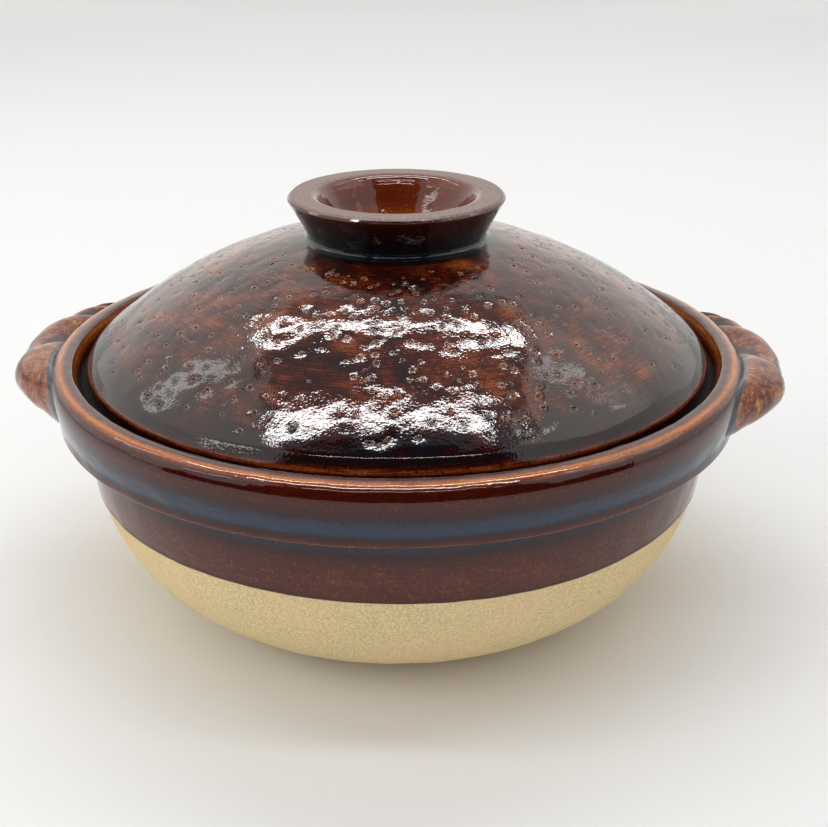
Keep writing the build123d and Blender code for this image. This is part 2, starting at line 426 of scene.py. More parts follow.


# A matt, grainy, near black finish on the pot's ledge, in the narrow gap under the lid's edge.
nearBlackLedgeFinish = {
    "stops": [(0.35, "#0d0b0c"), (0.8, "#2c211e")],
    "grainSize": 0.6,
    "grainHeight": 0.12,
    "roughness": 0.8,
    "ior": 1.5,
    "specular": 0.12,  # the near black finish has hardly any shine
}


def nearBlackLedgeMaterial(name):
    look = nearBlackLedgeFinish
    material, tree = newMaterial(name)
    place = addNode(tree, "TexCoord").outputs["Object"]
    grain = addNode(tree, "TexNoise", pattern(place, look["grainSize"], Detail=3.0))
    base = addNode(tree, "ValToRGB", {"Fac": grain}, look["stops"])
    height = addNode(tree, "Math", [grain, look["grainHeight"] * mm], operation="MULTIPLY")
    dull = {"Roughness": look["roughness"], "IOR": look["ior"], "Specular IOR Level": look["specular"]}
    finishMaterial(tree, base, height, dull)
    return material


potGlaze = glazeMaterial("dippedAmeGlaze")
lidGlaze = glazeMaterial("pinholedAmeGlaze", lidGlazeChanges, pits=True)
knobGlaze = glazeMaterial("wipedAmeGlaze", knobGlazeChanges, wiped=True)
earGlaze = glazeMaterial("mottledAmeGlaze", earGlazeChanges)
clay = clayMaterial("bareStoneware")
nearBlackLedge = nearBlackLedgeMaterial("nearBlackLedgeFinish")
print("materials made")


# The bowl: thrown belly, stepped collar, rolled rim and the ledge for the lid. A curve has handles of
# radius and height, a count, glaze depths and a step. A stop has radius, height, cut, depth and step.
bowl = {
    "columns": 440,
    "meanRadius": 110,
    "floor": 9.5,
    "recess": 1.5,  # height of the hollow under the foot
    "ledge": 101.0,
    "glazeLine": 56.5,  # height where the dipped glaze ends
    "glazeThickness": 0.35,
    "glazeBead": 0.16,
    "lineWave": 0.8,
    "lineWaves": [(2, 0.4), (3, 2.1), (5, 4.0), (9, 1.0), (17, 2.6)],  # times round, phase
    "foot": [(3, 1.5, 0, 0.5, 8), (56, 1.5, 0, 0.5, 8), (58, 1.5, 0.4, 0.5, 0.4),
             (58, 0, 0.4, 0.5, 0.4), (60, 0, 0, 0.5, 2.5), (68, 0, 1.2, 0.5, 1.5)],
    "belly": [(68, 0), (112, 7.75), (130.4, 40.3), (130.4, 77.5)],
    "bellyDepths": ([55, 57.2, 59, 66, 74, 77], [0.75, 0.56, 0.43, 0.41, 0.46, 0.85]),
    "ridge": [(130.4, 85.5, 3.4, 1.0, 0.6), (136.5, 85.5, 0, 0.62, 0.8),
              (140.9, 85.5, 0.7, 0.28, 0.25), (141.1, 90.1, 1.6, 0.98, 0.6)],
    "collar": ([(141.1, 90.1), (142.1, 94.1), (142.9, 98.6), (142.9, 102.1)], 16,
               [1.0, 0.98, 0.78, 0.56, 0.48], 0.8),
    "roll": ([(142.9, 102.1), (142.9, 105.2), (141.7, 107.3), (139.3, 108.15)], 14,
             [0.50, 0.58, 0.56, 0.36, 0.08], 0.42),
    "crown": ([(139.3, 108.15), (138.0, 108.5), (136.6, 108.5)], 6, [0.06, 0.24, 0.52], 0.45),
    "gallery": [(135.6, 108.5, 0, 0.60, 0.5), (134, 108.5, 1.6, 0.40, 0.4),
                (133.2, 106.4, 0, 0.12, 0.6), (132.4, 104.4, 0, 0.30, 0.6), (131, 101, 1.0, 0.80, 0.5),
                (128, 101, 0, 0.50, 0.9), (127.4, 101, 0, 0.50, 1.0), (120, 101, 2.0, 0.45, 1.0),
                (122.4, 77.5, 0, 0.36, 3.0)],
    "inside": ([(122.4, 77.5), (122.4, 44.9), (104.2, 16.3), (60.8, 9.5)], 50, [0.36, 0.40, 0.50], 4.5),
    "bottom": [(56, 9.5, 0, 0.5, 8), (3, 9.5, 0, 0.5, 8)],
}


# The profile is turned, then each vertex moves along its normal by lift + uneven + ripple
def makeBowl():
    line, ledge, columns = bowl["glazeLine"], bowl["ledge"], bowl["columns"]
    belly = bezier(bowl["belly"], 60)[1:]
    step = 0.22 + 3.0 * ease(np.abs(belly[:, 1] - line), 1.2, 9)  # finest at the glaze line
    bellyDepth = np.interp(belly[:, 1], *bowl["bellyDepths"])
    rows = profile([
        *bowl["foot"],
        *np.column_stack([belly, 0 * step, bellyDepth, step]).tolist(),
        *bowl["ridge"],
        *curveStops(*bowl["collar"]),
        *curveStops(*bowl["roll"]),
        *curveStops(*bowl["crown"]),
        *bowl["gallery"],
        *curveStops(*bowl["inside"]),
        *bowl["bottom"],
    ])
    radius, height, length = rows["radius"], rows["height"], rows["length"]
    outside = length < length[np.argmax(radius)]
    glazeRow = np.argmax(outside & (height > line) & (radius > 100))
    glazed = np.arange(len(radius)) >= glazeRow
    # the bare clay lies one glaze thickness under the glazed surface, and the glaze ends in a soft bead
    fromLine = length - length[glazeRow]
    lift = bowl["glazeThickness"] * (ease(fromLine, -0.25, 0.45) - 1) * ease(height, 1, 6)
    lift += bowl["glazeBead"] * np.exp(-((fromLine - 0.9) / 0.7) ** 2)
    lift = np.where(outside, lift, 0)
    grid = turned(radius, height, columns)
    normals = turnedNormals(radius, height, columns)
    # hand-thrown unevenness: a slow wave in space, kept off the faces that touch the lid and the table
    loose = ease(height, 2, 12) * np.where(np.abs(height - ledge) < 1.2, 0, 1) * (radius < 142.2)
    uneven = 0.05 * waves(grid, 9, 22, 3) * (loose * (height < 108.3))[:, None]
    ripple = 0.02 * waves(grid, 4, 8, 5) * (loose * glazed)[:, None]
    onRim = ease(height, 104.5, 107) * (radius > 133) * (height < 108.48)
    ripple += 0.03 * (waves(grid, 3.2, 6, 6) - 2.2) * onRim[:, None]
    grid += normals * (lift[:, None] + uneven + ripple)[..., None]
    # the glaze line wanders: rows near it slide up and down the belly
    angle = anglesRound(columns)
    wander = sum(np.sin(angle * k + phase) / k for k, phase in bowl["lineWaves"])
    nearLine = np.exp(-((height - line) / 8) ** 2) * outside
    slide = bowl["lineWave"] * wander[None, :] * nearLine[:, None]
    rise = np.gradient(height)
    slope = np.gradient(radius) / np.where(np.abs(rise) < 1e-6, 1, rise)
    out = slide * np.clip(slope, -2, 2)[:, None]
    grid[..., 0] += out * np.cos(angle)
    grid[..., 1] += out * np.sin(angle)
    grid[..., 2] += slide
    # the glaze, the bare clay under its line, and the near black finish on the ledge
    nearBlackRows = (np.abs(height - ledge) < 1.6) & (radius < 131.4) & (radius > 118)
    facePlace = np.where(nearBlackRows[:-1] & nearBlackRows[1:], 2, (~glazed[:-1]).astype(int))
    points = np.concatenate([grid.reshape(-1, 3), [(0, 0, bowl["recess"]), (0, 0, bowl["floor"])]])
    under, within = poleFaces(len(radius), columns)
    groups = [(gridFaces(len(radius), columns), np.repeat(facePlace, columns)), (under, 1), (within, 0)]
    place = thrownPlace(length, columns, bowl["meanRadius"])
    values = {
        "glazeDepth": np.r_[np.repeat(rows["depth"], columns), 0.5, 0.5],
        "thrown": np.concatenate([place, [(0, 0, 0), (0, 0, length[-1])]]),
    }
    return makePiece("potBowl", points, groups, values, [potGlaze, clay, nearBlackLedge])


# The lid: a thrown dome whose glaze is full of pinholes, each in its own shallow dimple
lid = {
    "columns": 540,
    "meanRadius": 90,
    "sphere": 192.157,
    "sphereCentre": -34.657,
    "innerSphere": 185.657,
    "innerFoot": 113.2,  # radius where the dome's inside meets the bearing ring
    "ledge": 101.0,
    "step": 0.78,  # mm between rows on the dome
    "holeRadius": 4.0,
    "holePlace": 79.546,
    "holeCells": 5,  # half the cells across the block that becomes the hole
    "seed": 11,
    "pitTries": 1050,
    "pitGap": 3.2,
    "pitBand": (47, 122.5),
    "pitRadii": (0.42, 1.08),
    "pitZone": 1.9,  # mm round a pinhole in which the glaze draws it
    "pull": 1.5,  # how strongly the vertices crowd at a pinhole
    "funnel": (0.85, 0.32),  # its width and depth, as shares of a pinhole's radius
    "lip": (1.5, 0.45, 0.035),  # its place, width and height, as such shares
    "dimpleRadii": (2.4, 4.4),
    "dimpleDepths": (0.09, 0.27),
}


def domeHeight(radius, sphere):
    return lid["sphereCentre"] + np.sqrt(sphere**2 - np.asarray(radius, float) ** 2)


# Seeded places for the pinholes on the dome, none closer than the gap, none at the steam hole
def pinholes():
    rng = np.random.default_rng(lid["seed"])
    count = lid["pitTries"]
    nearest, farthest = lid["pitBand"]
    radius = np.sqrt(rng.uniform(nearest**2, farthest**2, count))
    angle = rng.uniform(0, 2 * pi, count)
    height = domeHeight(radius, lid["sphere"])
    places = np.column_stack([radius * np.cos(angle), radius * np.sin(angle), height])
    apart = np.linalg.norm(places[:, None] - places[None], axis=2)
    earlier = np.tri(count, k=-1, dtype=bool)
    clear = ~((apart < lid["pitGap"]) & earlier).any(1)
    clear &= np.hypot(places[:, 0], places[:, 1] - lid["holePlace"]) > 10
    places = places[clear]
    count = len(places)
    small, large = lid["pitRadii"]
    pits = small + (large - small) * rng.uniform(0, 1, count) ** 1.7
    dimples = rng.uniform(*lid["dimpleRadii"], count)
    depths = rng.uniform(*lid["dimpleDepths"], count) * (0.5 + 0.5 * pits / large)
    return places, pits, dimples, depths


# Draws the dome's vertices towards their nearest pinhole, at distance reach (d / reach)^pull, and
# gives the push along the normal: less depth (1 - (d / dimple radius)^2)^2 for each dimple, less a
# Gaussian funnel, plus a Gaussian lip. It also gives each vertex's offset from its pinhole, that
# pinhole's radius, and a share that is one at a pinhole and fades out round it.
def pitDome(top, centre):
    places, pits, dimples, depths = pinholes()
    funnelWidth, funnelDepth = lid["funnel"]
    lipPlace, lipWidth, lipHeight = lid["lip"]
    apart = np.linalg.norm(places[:, None] - places[None], axis=2) + 99 * np.eye(len(places))
    reach = np.minimum(lid["pitGap"], 0.48 * apart.min(1))
    push, pitSize, ring = np.zeros((3, len(top)))
    offset = np.zeros((len(top), 3))
    for block in np.array_split(np.arange(len(top)), 24):
        away = top[block, None] - places[None]
        distance = np.linalg.norm(away, axis=2)
        nearest = distance.argmin(1)
        one = np.arange(len(block))
        close = distance[one, nearest]
        limit = reach[nearest]
        shrink = np.where(close < limit, (close / limit) ** (lid["pull"] - 1), 1)
        moved = places[nearest] + away[one, nearest] * shrink[:, None]
        radial = moved - centre
        onDome = centre + radial * (lid["sphere"] / np.linalg.norm(radial, axis=1))[:, None]
        moved = np.where((close < limit)[:, None], onDome, top[block])
        top[block] = moved
        distance = np.linalg.norm(moved[:, None] - places[None], axis=2)
        share = np.clip(distance / dimples, 0, 1)
        funnel = np.exp(-((distance / (funnelWidth * pits)) ** 2))
        lip = np.exp(-(((distance - lipPlace * pits) / (lipWidth * pits)) ** 2))
        push[block] = -(depths * (1 - share**2) ** 2).sum(1)
        push[block] -= (funnelDepth * pits * funnel).sum(1)
        push[block] += (lipHeight * pits * lip).sum(1)
        close = distance[one, nearest]
        offset[block] = moved - places[nearest]
        pitSize[block] = np.where(close < lid["pitZone"], pits[nearest], 0)
        ring[block] = np.exp(-((close / 2.6) ** 2))
    return push, offset, pitSize, ring


# Two spheres joined by the profile of the edge. Their rows lie on z = centre + sqrt(sphere^2 - r^2).
def makeLid():
    columns, step, cells = lid["columns"], lid["step"], lid["holeCells"]
    sphere, inner, ledge = lid["sphere"], lid["innerSphere"], lid["ledge"]
    holePlace, innerFoot = lid["holePlace"], lid["innerFoot"]
    domeRadii = holePlace + step * np.arange(58, -46, -1)  # from the dome's foot in to the knob
    centreRadii = np.linspace(domeRadii[-1] - 1.5, 2.2, 18)
    blockRadii = holePlace + step * np.arange(-cells, cells + 1)
    fromCentre = np.linspace(4, holePlace - 6, 11)
    innerRadii = np.r_[fromCentre, blockRadii, np.linspace(holePlace + 6, innerFoot, 7)]
    edge = profile([
        (innerFoot, domeHeight(innerFoot, inner), 0, 0.45, 3),
        (118.3, domeHeight(118.3, inner), 3.4, 0.45, 1.5), (118.3, ledge, 0.5, 0.5, 1.2),
        (121, ledge, 0, 0.5, 3.5), (128.3, ledge, 1.5, 0.85, 1.0), (128.3, 105.3, 0, 0.60, 0.6),
        (128.3, 106.9, 1.1, 0.20, 0.5), (127.2, 108.4, 0, 0.58, 0.5), (125.6, 110.53, 0.7, 0.78, 0.4),
        (124.95, domeHeight(124.95, sphere), 0, 0.45, 0.5),
    ])
    edgeRadii, edgeHeights, edgeDepths = [edge[k][1:-1] for k in ("radius", "height", "depth")]
    radius = np.r_[innerRadii, edgeRadii, domeRadii, centreRadii]
    outerHeights = domeHeight(np.r_[domeRadii, centreRadii], sphere)
    height = np.r_[domeHeight(innerRadii, inner), edgeHeights, outerHeights]
    rowNumber = np.arange(len(radius))
    topStart = len(innerRadii) + len(edgeRadii)
    isInner, isTop = rowNumber < len(innerRadii), rowNumber >= topStart
    grid = turned(radius, height, columns)

    # the steam hole: a square block of cells, eased onto a circle, on both faces of the wall
    angle = anglesRound(columns)
    u = (angle[None, :] - pi / 2) * holePlace / (cells * 2 * pi * holePlace / columns)
    v = (radius[:, None] - holePlace) / (cells * step)
    outer = np.maximum(np.abs(u), np.abs(v))
    size = np.maximum(np.hypot(u, v), 1e-9)
    blend = ease(outer, 1.0, 2.4)
    roundX = -u / size * outer * lid["holeRadius"]
    roundY = holePlace + v / size * outer * lid["holeRadius"]
    near = (outer < 2.4) & (isInner | isTop)[:, None]
    grid[..., 0] = np.where(near, roundX + (grid[..., 0] - roundX) * blend, grid[..., 0])
    grid[..., 1] = np.where(near, roundY + (grid[..., 1] - roundY) * blend, grid[..., 1])
    across = np.hypot(grid[..., 0], grid[..., 1])
    grid[isTop, :, 2] = domeHeight(across[isTop], sphere)
    grid[isInner, :, 2] = domeHeight(across[isInner], inner)

    # pinholes, slow unevenness in space and faint throwing rings push the dome in and out
    top = grid[isTop].reshape(-1, 3)
    centre = np.array([0, 0, lid["sphereCentre"]])
    push, offset, pitSize, ring = pitDome(top, centre)
    topRadius = np.hypot(top[:, 0], top[:, 1])
    calm = ease(topRadius, 0, 40) * ease(124.6 - topRadius, 0, 3)
    slow, middling, fine = waves(top, 13, 30, 21), waves(top, 5.5, 11, 22), waves(top, 2.6, 4.5, 23)
    push = push + calm * (0.055 * slow + 0.022 * middling + 0.007 * fine)
    push += 0.05 * np.sin(topRadius / 3.1 + 1.2 * np.sin(topRadius / 11)) * calm
    fromHole = np.hypot(top[:, 0], top[:, 1] - holePlace)
    push *= ease(fromHole, 4.2, 6.5)
    push -= 0.5 * (1 - ease(fromHole, 4.0, 5.2))  # the glaze rolls over into the hole
    top += (top - centre) / np.linalg.norm(top - centre, axis=1)[:, None] * push[:, None]
    grid[isTop] = top.reshape(-1, columns, 3)

    # colour: amber on the edge, pooled at the knob's foot, darker towards the dome's edge, thin round the
    # pinholes, in broad dark patches
    rowDepth = np.r_[np.full(len(innerRadii), 0.42), edgeDepths, np.full(int(isTop.sum()), 0.44)]
    depth = np.repeat(rowDepth[:, None], columns, 1)
    pooled = 0.5 * np.exp(-(np.clip(topRadius - 39.0, 0, None) / 1.6) ** 2) * (topRadius > 30)
    # the glaze is made deeper, so darker, towards the dome's edge
    darkerTowardsEdge = 0.26 * ease(topRadius, 115, 122)
    drift = 0.05 * waves(top, 24, 60, 31) + 0.05 * waves(top, 8, 16, 32)
    topDepth = depth[isTop].ravel() + pooled + darkerTowardsEdge + drift + 0.10 * ring
    depth[isTop] = np.where(topRadius < 29, 0.24, topDepth).reshape(-1, columns)

    # faces: the block of cells is left out of both spheres, and a wall joins the two gaps
    count = len(radius) * columns
    poles = [(0, 0, domeHeight(0, inner)), (0, 0, domeHeight(0, sphere))]
    faces = gridFaces(len(radius), columns)
    bare = (np.abs(height[:-1] - ledge) < 0.05) & (np.abs(height[1:] - ledge) < 0.05)
    facePlace = np.repeat(bare.astype(int), columns)
    holeColumn = columns // 4
    topRow = topStart + int(np.argmin(np.abs(domeRadii - holePlace)))
    underRow = int(np.argmin(np.abs(innerRadii - holePlace)))
    row, column = rowNumber[:-1, None], np.arange(columns)[None, :]
    inTop = (row >= topRow - cells) & (row < topRow + cells)
    inUnder = (row >= underRow - cells) & (row < underRow + cells)
    removed = (inTop | inUnder) & (column >= holeColumn - cells) & (column < holeColumn + cells)
    kept = ~removed.ravel()
    run = np.arange(-cells, cells)
    loopU = np.r_[run, np.full(2 * cells, cells), -run, np.full(2 * cells, -cells)]
    loopV = np.r_[np.full(2 * cells, cells), -run, np.full(2 * cells, -cells), run]
    topLoop = (topRow - loopV) * columns + holeColumn + loopU
    underLoop = (underRow + loopV) * columns + holeColumn + loopU
    wall = np.stack([topLoop, np.roll(topLoop, -1), np.roll(underLoop, -1), underLoop], -1)
    under, crown = poleFaces(len(radius), columns)
    groups = [(faces[kept], facePlace[kept]), (wall, 0), (under, 0), (crown, 0)]
    sizes, boiled = np.zeros((2, count + 2))
    offsets = np.full((count + 2, 3), 5.0)  # away from any pinhole
    onTop = slice(topStart * columns, count)
    offsets[onTop], sizes[onTop], boiled[onTop] = offset, pitSize, ring
    length = np.r_[0, np.cumsum(np.hypot(np.diff(radius), np.diff(height)))]
    place = thrownPlace(length, columns, lid["meanRadius"])
    values = {
        "glazeDepth": np.r_[depth.ravel(), 0.42, 0.24],
        "thrown": np.concatenate([place, [(0, 0, 0), (0, 0, length[-1])]]),
        "pitOffset": offsets,
        "pitSize": sizes,
        "boiledShare": boiled,
    }
    points = np.concatenate([grid.reshape(-1, 3), poles])
    return makePiece("lidDome", points, groups, values, [lidGlaze, clay])


# The ring knob, luted on the crown: it leans out, its top edge is wiped, its well narrows downwards
knob = {
    "columns": 360,
    "meanRadius": 36,
    "baseRadius": 35.4,
    "fillet": 2.2,  # where the knob's side meets the dome
    "lean": (9.0, 15.7),  # how far the side runs out, over how far it rises
    "top": 171.211,
    "wipedFrom": 33.2,
}


# The profile is a closed loop, turned. The fillet meets the dome at a radius that follows from the
# angle between the leaning side and the sphere.
def makeKnob():
    top, base, sphere, columns = knob["top"], knob["baseRadius"], lid["sphere"], knob["columns"]
    footAngle = pi / 2 - atan2(*knob["lean"]) + asin(base / sphere)
    spread = base + 1.18 * knob["fillet"] / tan(footAngle / 2)
    mouth = [(base, top), (33.0, top), (31.9, top - 0.8), (30.9, top - 2.6)]
    rows = profile([
        (23.4, 153.6, 0, 0.5, 3), (spread - 0.4, 152.4, 0, 1.0, 3),
        (spread, domeHeight(spread, sphere) - 0.25, 0.3, 1.0, 0.5),
        (36.2, domeHeight(base, sphere) + 0.45, knob["fillet"], 0.98, 0.4),
        (39.0, 160.4, 0, 0.80, 0.8), (43.0, 167.4, 0, 0.60, 0.7),
        (44.4, top - 1.6, 0.35, 0.45, 0.25), (42.8, top, 0.35, 0.45, 0.2), (40, top, 0, 0.45, 0.8),
        (36.0, top, 0, 0.36, 0.5), *curveStops(mouth, 14, [0.34, 0.26, 0.24], 0.35, 0),
        (27.2, 162, 0, 0.30, 1.2), (23.4, 155.4, 0, 0.10, 1.2),
    ], 9)
    radius, height = rows["radius"], rows["height"]
    grid = turned(radius, height, columns)
    normals = turnedNormals(radius, height, columns)
    free = (height > 155) * (height < top - 0.02)
    uneven = 0.035 * waves(grid, 7, 16, 41) + 0.012 * waves(grid, 2.5, 5, 42)
    inward = np.where(height > 168, -np.abs(uneven).max(), 0)
    grid += normals * ((uneven + inward[:, None]) * free[:, None])[..., None]
    wipedFrom = knob["wipedFrom"]
    wiped = ease(radius, wipedFrom, wipedFrom + 2) * ease(height, top - 0.9, top - 0.3)
    groups = [(gridFaces(len(radius), columns, True), 0)]
    values = {
        "glazeDepth": np.repeat(rows["depth"], columns),
        "thrown": thrownPlace(rows["length"], columns, knob["meanRadius"]),
        "wipedShare": np.repeat(wiped, columns),
    }
    return makePiece("lidKnob", grid.reshape(-1, 3), groups, values, [knobGlaze])


# The ears: a clay roll twisted like a rope and luted to the collar, in slanted oval sections
ear = {
    "rows": 190,
    "columns": 120,
    "rimRadius": 143.0,
    "reach": 18.0,
    "height": 97.5,
    "thickness": 19.0,
    "halfAngle": 23.0,  # degrees round the pot from the middle of the ear to its place 1
    "slant": 42.0,
    "rootDepth": 4.5,
    "creases": [(-0.255, 0.028), (0.375, 0.024), (0.665, 0.020)],  # place along the ear, depth as a share
    "creaseWidth": 0.020,
    "collarRadius": 144.1,  # the glaze pools inside this radius
    # place of the nose along the ear, reach and thickness
    "sections": [
        (-1.15, -0.12, 0.58), (-1.09, -0.07, 0.70), (-1.01, 0.01, 0.82), (-0.90, 0.12, 0.93),
        (-0.78, 0.30, 1.01), (-0.65, 0.54, 1.06), (-0.53, 0.75, 1.07), (-0.41, 0.90, 1.06),
        (-0.32, 0.95, 0.99), (-0.25, 0.91, 0.86), (-0.17, 0.94, 0.87), (-0.06, 0.98, 0.92),
        (0.05, 1.01, 1.00), (0.16, 1.02, 1.04), (0.27, 0.98, 1.00), (0.36, 0.90, 0.88),
        (0.45, 0.86, 0.89), (0.56, 0.80, 0.93), (0.66, 0.69, 0.83), (0.72, 0.66, 0.87), (0.78, 0.56, 0.82),
        (0.825, 0.42, 0.74), (0.86, 0.26, 0.64), (0.89, 0.09, 0.53), (0.915, -0.12, 0.42),
    ],
}


# Each section is an oval in the plane through Z that slants across the ear. With p its place, n its
# nose radius, d its depth, s the slant and t its thickness, the point at angle q is
# (n - d/2 cos s (1 - cos q), d/2 sin s (1 - cos q), h + t/2 sin q), turned about Z by p times the
# half angle.
def makeEar(name, mirrored):
    rows, columns, reach, rim = ear["rows"], ear["columns"], ear["reach"], ear["rimRadius"]
    places, reaches, thicknesses = np.array(ear["sections"]).T
    at = np.linspace(places[0], places[-1], rows)
    crease = sum(deep * np.exp(-((at - p) / ear["creaseWidth"]) ** 2) for p, deep in ear["creases"])
    nose = rim + reach * smoothThrough(places, reaches, at) - reach * crease * 0.8
    thick = ear["thickness"] * smoothThrough(places, thicknesses, at) * (1 - crease)
    slant = radians(ear["slant"])
    deep = np.maximum(nose - rim + ear["rootDepth"], 0.5) / cos(slant)
    q = anglesRound(columns)[None, :]
    x = nose[:, None] - deep[:, None] / 2 * cos(slant) * (1 - np.cos(q))
    y = deep[:, None] / 2 * sin(slant) * (1 - np.cos(q))
    z = ear["height"] + thick[:, None] / 2 * np.sin(q)
    turn = np.radians(ear["halfAngle"] * at)[:, None]
    grid = np.stack([x * np.cos(turn) - y * np.sin(turn), x * np.sin(turn) + y * np.cos(turn), z], -1)
    lump = 0.10 * waves(grid, 9, 18, 51) + 0.012 * waves(grid, 2.5, 5, 52)
    outward = grid - grid.mean(1, keepdims=True)
    outward /= np.linalg.norm(outward, axis=2)[..., None]
    grid += outward * (np.clip(lump, -0.5, 0.1) - 0.1)[..., None]
    # glaze pooled against the collar and thin on the crowns of the lobes; darker in the creases and behind
    # them near the root, partly glaze pooled in the creases, partly painted shade
    radius = np.hypot(grid[..., 0], grid[..., 1])
    pooled = ease(ear["collarRadius"] - radius, 0, 0.8)
    behind = sum(ease(at, p - 0.01, p + 0.03) * ease(p + 0.17 - at, 0, 0.12) for p, _ in ear["creases"])
    # painted shade behind each crease, towards the root of the ear
    paintedShadeBehindCreases = 0.45 * behind[:, None] * ease(153 - radius, 0, 7)
    depth = 0.33 + 0.80 * pooled + paintedShadeBehindCreases + 12 * crease[:, None]
    points = np.concatenate([grid.reshape(-1, 3), grid[[0, -1]].mean(1)])
    if mirrored:
        points = points * (-1, 1, 1)
    order = 1 if mirrored else -1  # faces turned so that their normals point outwards
    faces = [gridFaces(rows, columns), *poleFaces(rows, columns)]
    groups = [(group[:, ::order], 0) for group in faces]
    values = {"glazeDepth": np.r_[depth.ravel(), 0.5, 0.5], "thrown": points}
    return makePiece(name, points, groups, values, [earGlaze])


potBowl = makeBowl()
lidDome = makeLid()
lidKnob = makeKnob()
earRight = makeEar("earRight", False)
earLeft = makeEar("earLeft", True)
for piece, node, body, slot in [
    (potBowl, "pot_bowl", "pot", "pot_clay"),
    (earRight, "handle_right", "pot", "handle_glaze"),
    (earLeft, "handle_left", "pot", "handle_glaze"),
    (lidDome, "lid_dome", "lid", "lid_glaze"),
    (lidKnob, "lid_knob", "lid", "knob_glaze"),
]:
    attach(piece, body)
    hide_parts(node)
print("pieces placed")


# Stage: a pale sheet that curves up into a backdrop all round, soft lamps, and a room that only
# reflections see: a dim ceiling between white walls, with tubes and windows
stage = {
    "sheet": "#f7f7f6",
    "sheetRadius": 2400,
    "sheetCurve": 360,
    "wallHeight": 380,
    "turn": 4.0,  # degrees the room stands turned to the pot
    "ceiling": 1950,  # height above the table
    "dimLeft": -1030,
    "dimRight": 950,
    "dimBack": 1360,
    "dimFront": -520,
    "darkFront": -640,  # the dark side of the room, behind the camera
    "darkHalf": 620,
    "darkReach": -1400,
    "lowDark": [(620, -640), (770, -300)],  # the dark room beyond the table's corners, to this height
    "lowDarkHeight": 330,
    "wallBack": 2140,
    "wallFront": -900,
    "wallLeft": -2900,
    "wallRight": 2700,
    # how bright reflections see the left, back and right walls, and the ceiling left and right
    "wallStrengths": (1.35, 1.3, 1.0),
    "sideCeilings": (1.6, 1.9),
    "sideFront": -500,
    "drop": 20,  # tubes and windows hang this far under the ceiling
    # tubes and the bright patches beside them, each a line and its width, the patches with a strength
    "tubes": [([(-1060, 1030), (-560, 790), (0, 660), (480, 690), (860, 780)], 150),
              ([(-1040, -420), (-960, -180), (-520, -230), (0, -265), (420, -225), (700, -180),
                (740, -400)], 155)],
    "tubeStrength": 26.0,
    "lowTube": (480, -630, 1000, 1040),  # half its length, place, bottom and top
    "windows": [([(-1340, 700), (-1900, 1080), (-2600, 1330)], 320, 5.0),
                ([(1090, 500), (1320, 640), (1560, 800)], 170, 5.0),
                ([(1760, 560), (2200, 880)], 210, 4.0),
                ([(1120, -180), (1270, -90)], 150, 9.0),
                ([(-2800, -630), (-2400, -790), (-1700, -1060)], 150, 8.0)],
    "worldStrength": 0.58,
    # soft lamps: place, the point each one faces, its size in mm and its strength in watts
    "lamps": {
        "tubeLampBack": ((0, 660, 1900), (0, 660, 0), (2000, 200), 8.0),
        "tubeLampFront": ((0, -260, 1900), (0, -260, 0), (2000, 200), 8.0),
        "windowLampLeft": ((-1500, -350, 750), (0, 0, 60), (900, 900), 5.5),
    },
}


def glowMaterial(name, code, strength):
    material, tree = newMaterial(name)
    glow = addNode(tree, "Emission", {"Color": colour(code), "Strength": strength})
    addNode(tree, "OutputMaterial", {"Surface": glow})
    return material


# A strip of card between two lines of points, seen only in reflections and turned with the room
def makeCard(name, near, far, material):
    turn = radians(stage["turn"])
    spun = np.array([*near, *far]) @ [(cos(turn), sin(turn), 0), (-sin(turn), cos(turn), 0), (0, 0, 1)]
    count = len(near)
    mesh = bpy.data.meshes.new(name)
    faces = [(i, i + 1, count + i + 1, count + i) for i in range(count - 1)]
    mesh.from_pydata((spun * mm).tolist(), [], faces)
    mesh.materials.append(material)
    card = addObject(name, mesh)
    card.visible_camera = False
    card.visible_diffuse = False
    card.visible_shadow = False
    card.visible_transmission = False


# A level card over a rectangle of the ceiling
def makeCeiling(name, left, right, front, back, material):
    z = stage["ceiling"]
    makeCard(name, [(left, front, z), (right, front, z)], [(left, back, z), (right, back, z)], material)


# An upright card from a line at one height to a line at another
def makeWall(name, foot, low, head, high, material):
    makeCard(name, [(x, y, low) for x, y in foot], [(x, y, high) for x, y in head], material)


# A card of the given width along a line, hung a little under the ceiling
def makeHung(name, line, width, material):
    z = stage["ceiling"] - stage["drop"]
    near = [(x, y - width / 2, z) for x, y in line]
    makeCard(name, near, [(x, y + width / 2, z) for x, y in line], material)


# A flat disc that bends up through a quarter circle into a low wall
def makeSheet():
    curve = stage["sheetCurve"]
    bend = stage["sheetRadius"] - curve
    turn = np.linspace(0, pi / 2, 24)[1:]
    radius = np.r_[np.linspace(0.05, 1, 12) * bend, bend + np.sin(turn) * curve, stage["sheetRadius"]]
    height = np.r_[np.zeros(12), (1 - np.cos(turn)) * curve, stage["wallHeight"]]
    columns = 96
    points = np.concatenate([turned(radius, height, columns).reshape(-1, 3), [(0, 0, 0)]])
    faces = [gridFaces(len(radius), columns), poleFaces(len(radius), columns)[0]]
    paper, tree = newMaterial("paleSheetPaper")
    matt = {"Base Color": colour(stage["sheet"]), "Roughness": 0.7, "Specular IOR Level": 0.2}
    shader = addNode(tree, "BsdfPrincipled", matt)
    addNode(tree, "OutputMaterial", {"Surface": shader})
    sheet = makePiece("paleSheet", points, [(group[:, ::-1], 0) for group in faces], {}, [paper])


